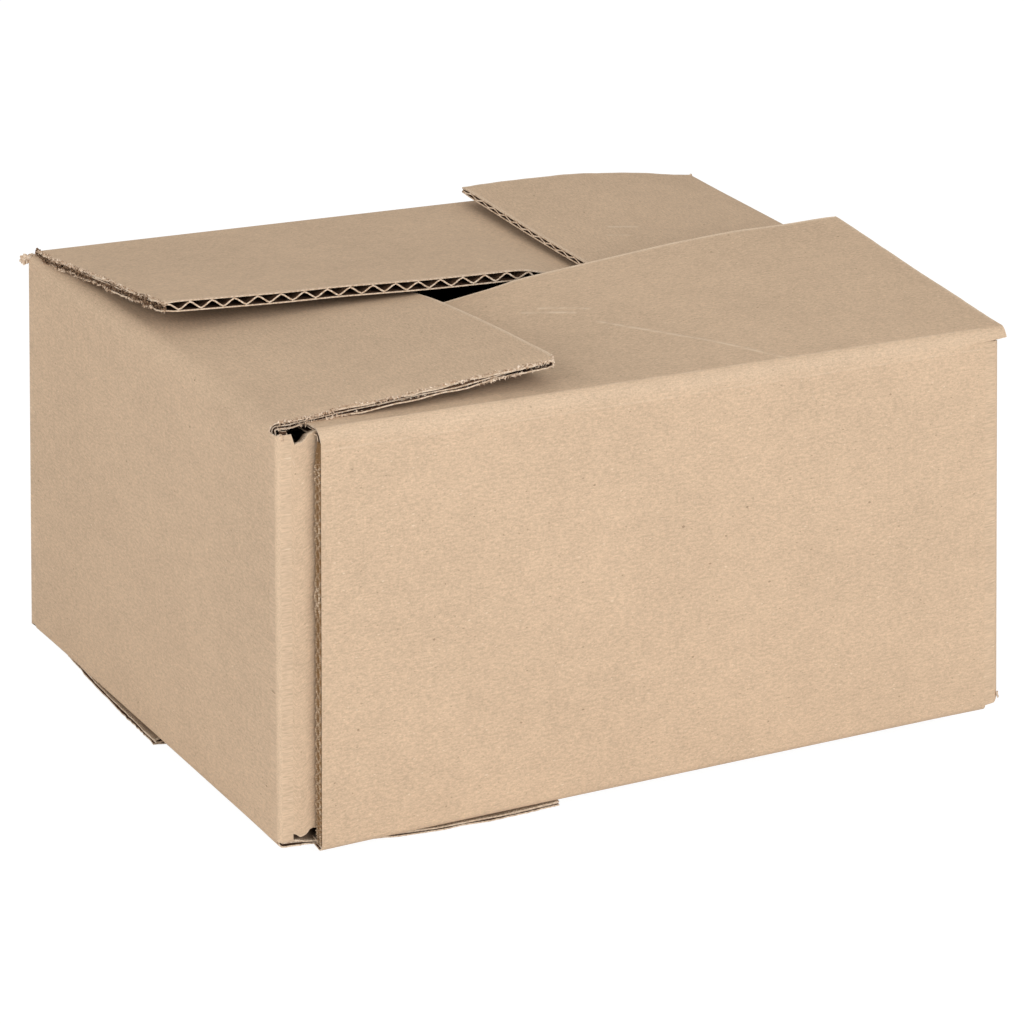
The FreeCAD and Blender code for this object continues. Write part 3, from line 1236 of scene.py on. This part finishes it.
def end_tree(tree: bpy.types.NodeTree, given: bpy.types.Node, shape: bpy.types.NodeSocket) -> None:
    """End a geometry node tree with real instances and the material of its input.

    Args:
        tree: The tree.
        given: Its input node.
        shape: Geometry that it has made.
    """
    nodes, links = tree.nodes, tree.links
    whole = nodes.new("GeometryNodeRealizeInstances")
    dress = nodes.new("GeometryNodeSetMaterial")
    links.new(shape, whole.inputs["Geometry"])
    links.new(whole.outputs["Geometry"], dress.inputs["Geometry"])
    links.new(given.outputs["Material"], dress.inputs["Material"])
    links.new(dress.outputs["Geometry"], nodes.new("NodeGroupOutput").inputs["Geometry"])


def named_value(nodes: bpy.types.Nodes, name: str, kind: str) -> bpy.types.NodeSocket:
    """Read a named attribute in a geometry node tree.

    Args:
        nodes: Nodes of the tree.
        name: Name of the attribute.
        kind: Its data type.

    Returns:
        The socket that gives its value.
    """
    read = nodes.new("GeometryNodeInputNamedAttribute")
    read.data_type = kind
    read.inputs["Name"].default_value = name
    return read.outputs["Attribute"]


def math_node(tree: bpy.types.NodeTree, operation: str, first, second=None) -> bpy.types.NodeSocket:
    """Add a math node.

    Args:
        tree: Tree that gets the node.
        operation: Name of the operation.
        first: First value, a socket or a number.
        second: Second value, a socket, a number or None.

    Returns:
        Its output socket.
    """
    node = tree.nodes.new("ShaderNodeMath")
    node.operation = operation
    for place, value in enumerate((first, second)):
        if isinstance(value, bpy.types.NodeSocket):
            tree.links.new(value, node.inputs[place])
        elif value is not None:
            node.inputs[place].default_value = value
    return node.outputs["Value"]


def set_inputs(modifier: bpy.types.Modifier, values: dict) -> None:
    """Set a geometry nodes modifier's inputs by their names, through each socket's identifier.

    Args:
        modifier: The modifier.
        values: Value by the input's name.
    """
    for item in modifier.node_group.interface.items_tree:
        if item.item_type == "SOCKET" and item.in_out == "INPUT" and item.name in values:
            modifier[item.identifier] = values[item.name]


def shader_group(name: str, inputs: dict, outputs: dict) -> tuple:
    """Start a shader node group.

    Args:
        name: Name of the group.
        inputs: Socket type and first value by name.
        outputs: Socket type by name.

    Returns:
        The tree, its input node and its output node.
    """
    tree = bpy.data.node_groups.new(name, "ShaderNodeTree")
    for label, (kind, value) in inputs.items():
        socket = tree.interface.new_socket(label, in_out="INPUT", socket_type=kind)
        if value is not None:
            socket.default_value = value
    for label, kind in outputs.items():
        tree.interface.new_socket(label, in_out="OUTPUT", socket_type=kind)
    return tree, tree.nodes.new("NodeGroupInput"), tree.nodes.new("NodeGroupOutput")


def noise_node(tree: bpy.types.NodeTree, where: bpy.types.NodeSocket, scale: float, stretch: tuple,
               detail: float = 2.0, roughness: float = 0.6) -> bpy.types.NodeSocket:
    """Noise at a place, stretched along the sheet.

    Args:
        tree: Tree that gets the nodes.
        where: Place in metres.
        scale: Cells per metre.
        stretch: Factor on each coordinate.
        detail: Octaves.
        roughness: Share of each finer octave.

    Returns:
        Socket from about 0 to 1.
    """
    nodes, links = tree.nodes, tree.links
    placed = nodes.new("ShaderNodeVectorMath")
    placed.operation = "MULTIPLY"
    placed.inputs[1].default_value = stretch
    links.new(where, placed.inputs[0])
    noise = nodes.new("ShaderNodeTexNoise")
    noise.inputs["Scale"].default_value = scale
    noise.inputs["Detail"].default_value = detail
    noise.inputs["Roughness"].default_value = roughness
    links.new(placed.outputs["Vector"], noise.inputs["Vector"])
    return noise.outputs["Fac"]


def ramp_node(tree: bpy.types.NodeTree, value: bpy.types.NodeSocket, low: float, high: float,
              to_low: float = 0.0, to_high: float = 1.0) -> bpy.types.NodeSocket:
    """Map a range of a value smoothly to another range.

    Args:
        tree: Tree that gets the node.
        value: The value.
        low: Start of its range.
        high: End of its range.
        to_low: Result at the start.
        to_high: Result at the end.

    Returns:
        The mapped value.
    """
    mapped = tree.nodes.new("ShaderNodeMapRange")
    mapped.interpolation_type = "SMOOTHSTEP"
    for label, number in (("From Min", low), ("From Max", high), ("To Min", to_low), ("To Max", to_high)):
        mapped.inputs[label].default_value = number
    tree.links.new(value, mapped.inputs["Value"])
    return mapped.outputs["Result"]


def scaled_colour(tree: bpy.types.NodeTree, colour, factor: bpy.types.NodeSocket) -> bpy.types.NodeSocket:
    """Multiply a colour by a number.

    Args:
        tree: Tree that gets the node.
        colour: The colour's socket.
        factor: The number's socket.

    Returns:
        The scaled colour.
    """
    node = tree.nodes.new("ShaderNodeVectorMath")
    node.operation = "SCALE"
    tree.links.new(colour, node.inputs[0])
    tree.links.new(factor, node.inputs["Scale"])
    return node.outputs["Vector"]


def mixed_colour(tree: bpy.types.NodeTree, share, first, second) -> bpy.types.NodeSocket:
    """Mix two colours.

    Args:
        tree: Tree that gets the node.
        share: Share of the second colour.
        first: First colour, a socket or a tuple.
        second: Second colour, a socket or a tuple.

    Returns:
        The mixed colour.
    """
    node = tree.nodes.new("ShaderNodeMix")
    node.data_type = "RGBA"
    for place, value in ((0, share), (6, first), (7, second)):
        if isinstance(value, bpy.types.NodeSocket):
            tree.links.new(value, node.inputs[place])
        else:
            node.inputs[place].default_value = value
    return node.outputs[2]


@dataclass(frozen=True)
class Stroke:
    """A rubbed or pressed line, or a painted highlight line, on the flat sheet, between two places in
    millimetres.
    """

    start: tuple
    end: tuple
    width: float = 0.5
    strength: float = 1.0


@dataclass(frozen=True)
class KraftPaper:
    """Brown kraft liner with fibres, specks, faint flute lines, a few rubbed creases and painted highlight
    lines.
    """

    colour: tuple = (0.640, 0.473, 0.329, 1)
    light: tuple = (0.80, 0.64, 0.48, 1)
    dark: tuple = (0.20, 0.12, 0.07, 1)
    roughness: float = 0.86
    strokes: tuple = ()

    def surface(self) -> bpy.types.NodeTree:
        """Group for the colour and the relief of the paper.

        Returns:
            The group, with the sheet place, wear and torn share as inputs.
        """
        tree, given, result = shader_group(
            "kraft_surface",
            {"Sheet": ("NodeSocketVector", None), "Colour": ("NodeSocketColor", self.colour),
             **{mark: ("NodeSocketFloat", 0.0) for mark in ("Worn", "Torn", "RubbedAndHighlight")}},
            {"Colour": "NodeSocketColor", "Height": "NodeSocketFloat", "Roughness": "NodeSocketFloat"},
        )
        links = tree.links
        where = given.outputs["Sheet"]
        fibre = noise_node(tree, where, 1500, (0.42, 1.0, 1.0), 3.0, 0.75)
        grain = noise_node(tree, where, 2600, (0.7, 1.0, 1.0), 2.0, 0.6)
        mottle = noise_node(tree, where, 210, (0.8, 1.0, 1.0), 3.0, 0.6)
        cloud = noise_node(tree, where, 26, (1.0, 1.0, 1.0), 2.0, 0.5)
        tone = ramp_node(tree, fibre, 0.28, 0.72, 0.88, 1.12)
        for noise, low, high, swing in (
            (grain, 0.25, 0.75, 0.09), (mottle, 0.25, 0.75, 0.04), (cloud, 0.3, 0.7, 0.025),
        ):
            tone = math_node(tree, "ADD", tone, ramp_node(tree, noise, low, high, -swing, swing))
        colour = scaled_colour(tree, given.outputs["Colour"], tone)
        for scale, stretch, low, high, tint, share in (
            (1500, (0.6, 1.0, 1.0), 0.785, 0.85, self.dark, 0.34),
            (1700, (0.5, 1.0, 1.0), 0.775, 0.86, self.light, 0.8),
            (900, (0.7, 1.0, 1.0), 0.845, 0.88, self.dark, 0.5),
        ):
            moved = tree.nodes.new("ShaderNodeVectorMath")
            moved.operation = "ADD"
            moved.inputs[1].default_value = (scale * 0.013, scale * 0.007, scale * 0.003)
            links.new(where, moved.inputs[0])
            noise = noise_node(tree, moved.outputs["Vector"], scale, stretch, 0.0)
            speck = ramp_node(tree, noise, low, high, 0.0, share)
            colour = mixed_colour(tree, speck, colour, tint)
        rub = math_node(tree, "MULTIPLY", given.outputs["Worn"], ramp_node(tree, grain, 0.3, 0.7, 0.12, 0.42))
        colour = mixed_colour(tree, rub, colour, self.light)
        # Rubbed lines and painted highlight lines mix the colour towards light kraft.
        colour = mixed_colour(tree, given.outputs["RubbedAndHighlight"], colour, self.light)
        torn = math_node(tree, "MULTIPLY", given.outputs["Torn"], ramp_node(tree, grain, 0.35, 0.65, 0.2, 0.9))
        colour = mixed_colour(tree, torn, colour, self.light)
        links.new(colour, result.inputs["Colour"])
        apart = tree.nodes.new("ShaderNodeSeparateXYZ")
        links.new(where, apart.inputs[0])
        turns = math_node(tree, "MULTIPLY", apart.outputs["X"], 2 * math.pi / (Board().flute_pitch * MM))
        flute = math_node(tree, "SINE", turns)
        height = math_node(tree, "MULTIPLY", fibre, 0.6)
        for source, share in ((grain, 0.3), (mottle, 0.25), (flute, 0.10)):
            height = math_node(tree, "ADD", height, math_node(tree, "MULTIPLY", source, share))
        links.new(height, result.inputs["Height"])
        rough = ramp_node(tree, fibre, 0.2, 0.8, self.roughness - 0.04, self.roughness + 0.06)
        links.new(rough, result.inputs["Roughness"])
        return tree

    def stroke_group(self) -> bpy.types.NodeTree:
        """Group that gives how near the sheet's place is to a line between two places.

        Returns:
            The group, with the line's ends, width and strength as inputs.
        """
        tree, given, result = shader_group(
            "stroke_mask",
            {**{label: ("NodeSocketVector", None) for label in ("Sheet", "Start", "End")},
             "Width": ("NodeSocketFloat", 0.5 * MM), "Strength": ("NodeSocketFloat", 1.0)},
            {"Mask": "NodeSocketFloat"},
        )
        nodes, links = tree.nodes, tree.links

        def vector(operation: str, first, second, output: str = "Vector") -> bpy.types.NodeSocket:
            """Add a vector node with one or two linked inputs."""
            node = nodes.new("ShaderNodeVectorMath")
            node.operation = operation
            links.new(first, node.inputs[0])
            if second is not None:
                links.new(second, node.inputs["Scale" if operation == "SCALE" else 1])
            return node.outputs[output]

        flat = nodes.new("ShaderNodeVectorMath")
        flat.operation = "MULTIPLY"
        flat.inputs[1].default_value = (1, 1, 0)
        links.new(given.outputs["Sheet"], flat.inputs[0])
        along = vector("SUBTRACT", given.outputs["End"], given.outputs["Start"])
        reach = vector("SUBTRACT", flat.outputs["Vector"], given.outputs["Start"])
        share = math_node(tree, "DIVIDE", vector("DOT_PRODUCT", reach, along, "Value"),
                          vector("DOT_PRODUCT", along, along, "Value"))
        share.node.use_clamp = True
        away = vector("SUBTRACT", reach, vector("SCALE", along, share))
        distance = math_node(tree, "DIVIDE", vector("LENGTH", away, None, "Value"), given.outputs["Width"])
        near = ramp_node(tree, distance, 0.0, 1.0, 1.0, 0.0)
        mask = math_node(tree, "MULTIPLY", near, given.outputs["Strength"])
        links.new(mask, result.inputs["Mask"])
        return tree

    def material(self, name: str) -> bpy.types.Material:
        """Make the material.

        Args:
            name: Its name.

        Returns:
            The material.
        """
        material = bpy.data.materials.new(name)
        material.use_nodes = True
        tree = material.node_tree
        nodes, links = tree.nodes, tree.links
        shader = nodes["Principled BSDF"]
        sheet = nodes.new("ShaderNodeUVMap")
        sheet.uv_map = "sheet"
        surface = nodes.new("ShaderNodeGroup")
        surface.node_tree = self.surface()
        surface.inputs["Colour"].default_value = self.colour
        links.new(sheet.outputs["UV"], surface.inputs["Sheet"])
        worn, torn = (self.attribute(nodes, mark) for mark in ("worn", "raw"))
        lines = None
        group = self.stroke_group() if self.strokes else None
        for stroke in self.strokes:
            mask = nodes.new("ShaderNodeGroup")
            mask.node_tree = group
            mask.inputs["Start"].default_value = (stroke.start[0] * MM, stroke.start[1] * MM, 0)
            mask.inputs["End"].default_value = (stroke.end[0] * MM, stroke.end[1] * MM, 0)
            mask.inputs["Width"].default_value = stroke.width * MM
            mask.inputs["Strength"].default_value = stroke.strength
            links.new(sheet.outputs["UV"], mask.inputs["Sheet"])
            lines = mask.outputs[0] if lines is None else math_node(tree, "MAXIMUM", lines, mask.outputs[0])
        if lines is not None:
            blotches = noise_node(tree, sheet.outputs["UV"], 420, (0.5, 1, 1), 2.0)
            patchy = ramp_node(tree, blotches, 0.35, 0.62, 0.2, 0.8)
            lines = math_node(tree, "MULTIPLY", lines, patchy)
            links.new(lines, surface.inputs["RubbedAndHighlight"])
        links.new(worn, surface.inputs["Worn"])
        links.new(torn, surface.inputs["Torn"])
        links.new(surface.outputs["Colour"], shader.inputs["Base Color"])
        links.new(surface.outputs["Roughness"], shader.inputs["Roughness"])
        height = surface.outputs["Height"]
        if lines is not None:
            height = math_node(tree, "ADD", height, math_node(tree, "MULTIPLY", lines, 1.2))
        bump = nodes.new("ShaderNodeBump")
        bump.inputs["Strength"].default_value = 0.5
        bump.inputs["Distance"].default_value = 0.00012
        links.new(height, bump.inputs["Height"])
        links.new(bump.outputs["Normal"], shader.inputs["Normal"])
        shader.inputs["Specular IOR Level"].default_value = 0.22
        return material

    def attribute(self, nodes: bpy.types.Nodes, name: str) -> bpy.types.NodeSocket:
        """Read a mark of the mesh.

        Args:
            nodes: Nodes of the material.
            name: Name of the mark.

        Returns:
            The socket that gives its value.
        """
        read = nodes.new("ShaderNodeAttribute")
        read.attribute_name = name
        return read.outputs["Fac"]


@dataclass(frozen=True)
class PlainPaper:
    """Paper that shows little of itself: flute sides, cut edges and shreds. The dark colours given for the
    flute sides and the medium are painted shade.
    """

    light: tuple
    dark: tuple

    def material(self, name: str) -> bpy.types.Material:
        """Make the material.

        Args:
            name: Its name.

        Returns:
            The material.
        """
        material = bpy.data.materials.new(name)
        material.use_nodes = True
        tree = material.node_tree
        shader = tree.nodes["Principled BSDF"]
        where = tree.nodes.new("ShaderNodeTexCoord")
        patch = noise_node(tree, where.outputs["Object"], 1400, (1.0, 1.0, 1.0), 2.0)
        colour = mixed_colour(tree, ramp_node(tree, patch, 0.35, 0.65), self.dark, self.light)
        tree.links.new(colour, shader.inputs["Base Color"])
        shader.inputs["Roughness"].default_value = 0.95
        shader.inputs["Specular IOR Level"].default_value = 0.1
        return material


@dataclass(frozen=True)
class Studio:
    """Camera, soft lights and white floor."""

    azimuth: float = -28.7
    elevation: float = 20.37
    roll: float = 1.21
    focal_px: float = 4079.9
    shift_right: float = 2.77
    shift_up: float = 41.96
    distance: float = 1103.82
    picture_px: float = 1024.0
    ambient_tint: tuple = (0.80, 0.772, 0.728, 1)
    ambient: float = 0.55
    floor_reach: float = 3.0
    floor_colour: tuple = (0.86, 0.86, 0.86, 1)
    floor_glow: float = 1.12
    glow_share: float = 0.86

    def camera(self, layout: Layout) -> bpy.types.Object:
        """Place the camera where the photograph was taken from.

        Args:
            layout: Sizes of the carton, for the height of its base.

        Returns:
            The camera.
        """
        a, e, r = (math.radians(x) for x in (self.azimuth, self.elevation, self.roll))
        back = Vector((math.sin(a) * math.cos(e), -math.cos(a) * math.cos(e), math.sin(e)))
        right = Vector((0, 0, 1)).cross(back).normalized()
        up = back.cross(right)
        right, up = right * math.cos(r) + up * math.sin(r), up * math.cos(r) - right * math.sin(r)
        place = right * self.shift_right + up * self.shift_up + back * self.distance
        place = (place + Vector((0, 0, layout.base_level))) * MM
        data = bpy.data.cameras.new("camera")
        data.sensor_width = 36
        data.lens = self.focal_px / self.picture_px * data.sensor_width
        data.clip_start = 0.05
        data.clip_end = 20
        camera = linked("camera", data)
        turn = Matrix((right, up, back)).transposed()
        camera.matrix_world = Matrix.Translation(place) @ turn.to_4x4()
        bpy.context.scene.camera = camera
        return camera

    def lamp(self, name: str, place: tuple, size: float, power: float) -> bpy.types.Object:
        """Add a square soft light that faces the carton.

        Args:
            name: Name of the light.
            place: Its place in metres.
            size: Length of its side.
            power: Its power in watts.

        Returns:
            The light.
        """
        data = bpy.data.lights.new(name, "AREA")
        data.shape = "SQUARE"
        data.size = size
        data.energy = power
        lamp = linked(name, data)
        lamp.location = place
        lamp.rotation_euler = (Vector((0, 0, 0.06)) - Vector(place)).to_track_quat("-Z", "Y").to_euler()
        return lamp

    def world(self) -> None:
        """Even light from all round, with a white background."""
        world = bpy.data.worlds.new("studio")
        world.use_nodes = True
        tree = world.node_tree
        nodes, links = tree.nodes, tree.links
        nodes.clear()
        path = nodes.new("ShaderNodeLightPath")
        seen = math_node(tree, "MAXIMUM", path.outputs["Is Camera Ray"], path.outputs["Is Glossy Ray"])
        seen = math_node(tree, "MAXIMUM", seen, path.outputs["Is Transmission Ray"])
        strength = math_node(tree, "MULTIPLY_ADD", seen, 1 - self.ambient)
        strength.node.inputs[2].default_value = self.ambient
        light = nodes.new("ShaderNodeBackground")
        links.new(strength, light.inputs["Strength"])
        links.new(mixed_colour(tree, seen, self.ambient_tint, (1, 1, 1, 1)), light.inputs["Color"])
        out = nodes.new("ShaderNodeOutputWorld")
        links.new(light.outputs["Background"], out.inputs["Surface"])
        bpy.context.scene.world = world

    def floor(self) -> bpy.types.Object:
        """White floor that keeps a faint shadow of the carton.

        Returns:
            The floor.
        """
        mesh = bpy.data.meshes.new("floor")
        reach = self.floor_reach
        corners = [(x * reach, y * reach, 0) for x, y in ((-1, -1), (1, -1), (1, 1), (-1, 1))]
        mesh.from_pydata(corners, [], [(0, 1, 2, 3)])
        material = bpy.data.materials.new("studio_floor")
        material.use_nodes = True
        tree = material.node_tree
        nodes, links = tree.nodes, tree.links
        nodes.clear()
        matt = nodes.new("ShaderNodeBsdfDiffuse")
        matt.inputs["Color"].default_value = self.floor_colour
        white = nodes.new("ShaderNodeEmission")
        path = nodes.new("ShaderNodeLightPath")
        mix = nodes.new("ShaderNodeMixShader")
        white.inputs["Strength"].default_value = self.floor_glow
        share = math_node(tree, "MULTIPLY", path.outputs["Is Camera Ray"], self.glow_share)
        links.new(share, mix.inputs["Fac"])
        links.new(matt.outputs["BSDF"], mix.inputs[1])
        links.new(white.outputs["Emission"], mix.inputs[2])
        out = nodes.new("ShaderNodeOutputMaterial")
        links.new(mix.outputs["Shader"], out.inputs["Surface"])
        mesh.materials.append(material)
        floor = linked("floor", mesh)
        return floor

    def build(self, layout: Layout) -> None:
        """Set up the whole studio.

        Args:
            layout: Sizes of the carton.
        """
        self.camera(layout)
        self.world()
        self.floor()
        self.lamp("front_softbox", (0.15, -1.6, 0.75), 1.2, 15.6)
        self.lamp("left_softbox", (-1.6, -0.4, 0.8), 1.2, 10.6)
        self.lamp("rear_softbox", (0.2, 1.5, 1.3), 1.2, 1.9)
        bpy.context.scene.view_settings.view_transform = "Standard"


def rubbed_and_highlight_lines(layout: Layout) -> tuple:
    """Creases, fold lines, painted highlights along the free edges and scuffs of the liner, in places on the
    flat sheet.

    Args:
        layout: Sizes of the carton.

    Returns:
        The strokes.
    """
    top, left_start = layout.wall_height, 2 * layout.length + layout.width
    free = top + layout.flap_depth
    low, high = free - layout.fold_step, free + layout.fold_step
    return (
        Stroke((95.8, top + 57.5), (106.5, top + 49.7), 0.9, 1.0),
        Stroke((100.3, top + 57.5), (110.9, top + 50.3), 0.9, 0.9),
        Stroke((108.8, top + 41.7), (114.0, top + 34.5), 0.9, 0.9),
        Stroke((114.0, top + 34.5), (127.8, top + 21.0), 0.9, 1.0),
        Stroke((127.8, top + 21.0), (142.0, top + 3.1), 0.9, 0.9),
        Stroke((10.0, top - 6.4), (201.0, top - 3.2), 0.4, 0.35),
        Stroke((10.0, top + 1.1), (201.0, top + 4.0), 0.6, 0.5),
        # Light lines along the free edges of the front and left top flaps: painted highlights.
        Stroke((0.0, low), (layout.length, high), 0.75, 1.4),
        Stroke((left_start, low), (left_start + layout.width, high), 0.6, 1.2),
        Stroke((layout.length + 109.7, top + 55.8), (layout.length + 108.7, top + 48.1), 1.1, 0.9),
        Stroke((layout.length + 103.2, top + 59.8), (layout.length + 101.8, top + 54.3), 0.9, 0.6),
    )


def main() -> None:
    """Build the carton and its studio, and report each piece."""
    logging.basicConfig(level=logging.INFO, format="%(name)s: %(message)s")
    layout = Layout()
    board = Board()
    Studio().build(layout)
    carton = Carton(layout, board, carton_panels(layout, board))
    kraft = KraftPaper(strokes=rubbed_and_highlight_lines(layout)).material("kraft_liner")
    # Inner liner: dark brown, painted shade of the carton's inside seen through its gaps.
    inside = KraftPaper(colour=(0.22, 0.15, 0.10, 1)).material("kraft_inside_painted_shade")
    # Liners' flute sides: nearly black brown, painted shade of the hollows between the liners.
    shaded_flute_side = PlainPaper((0.16, 0.09, 0.055, 1), (0.08, 0.045, 0.03, 1)).material("shaded_flute_side")
    cut = PlainPaper((0.80, 0.66, 0.52, 1), (0.56, 0.42, 0.30, 1)).material("cut_paper")
    # Fluted medium: darkened to near black brown, painted shade of the flute hollows; its cut rims stay pale.
    medium = PlainPaper((0.17, 0.10, 0.06, 1), (0.09, 0.05, 0.03, 1)).material("medium_painted_shade")
    brown = PlainPaper((0.36, 0.24, 0.155, 1), (0.18, 0.11, 0.07, 1)).material("torn_medium")
    pale = PlainPaper((0.86, 0.72, 0.58, 1), (0.55, 0.40, 0.28, 1)).material("pale_fibres")
    rows = RowPlan(54, 9, 40)
    coarse = RowPlan(36, 6, 16)
    pieces = [
        carton.liner("outer_liner", 0.0, rows, 3.2, [kraft, shaded_flute_side, cut]),
        carton.liner("inner_liner", board.thickness, coarse, 6.0, [inside, shaded_flute_side, cut]),
        Fluting(carton).build([medium, pale]),
        # Cut face of the front panel: dark brown painted shade, with light crests where the paper is cut.
        CutEdge(carton).build(KraftPaper(colour=(0.21, 0.12, 0.052, 1)).material("cut_front_edge_painted_shade")),
        Fringe(carton, "torn_fringe", (Side.LEFT, Side.BACK), (0.19, 0.25, board.thickness - 0.19)).build(pale),
        Fringe(carton, "torn_medium", (Side.BACK,), (0.7, 1.3, 1.9, 2.4), 0.4, 0.62, 0.25).build(brown),
        TornCorners(carton).build("torn_corners", False, pale),
        TornCorners(carton).build("torn_layers", True, brown),
    ]
    for piece in pieces:
        finish_piece(piece)


if __name__ == "__main__":
    main()
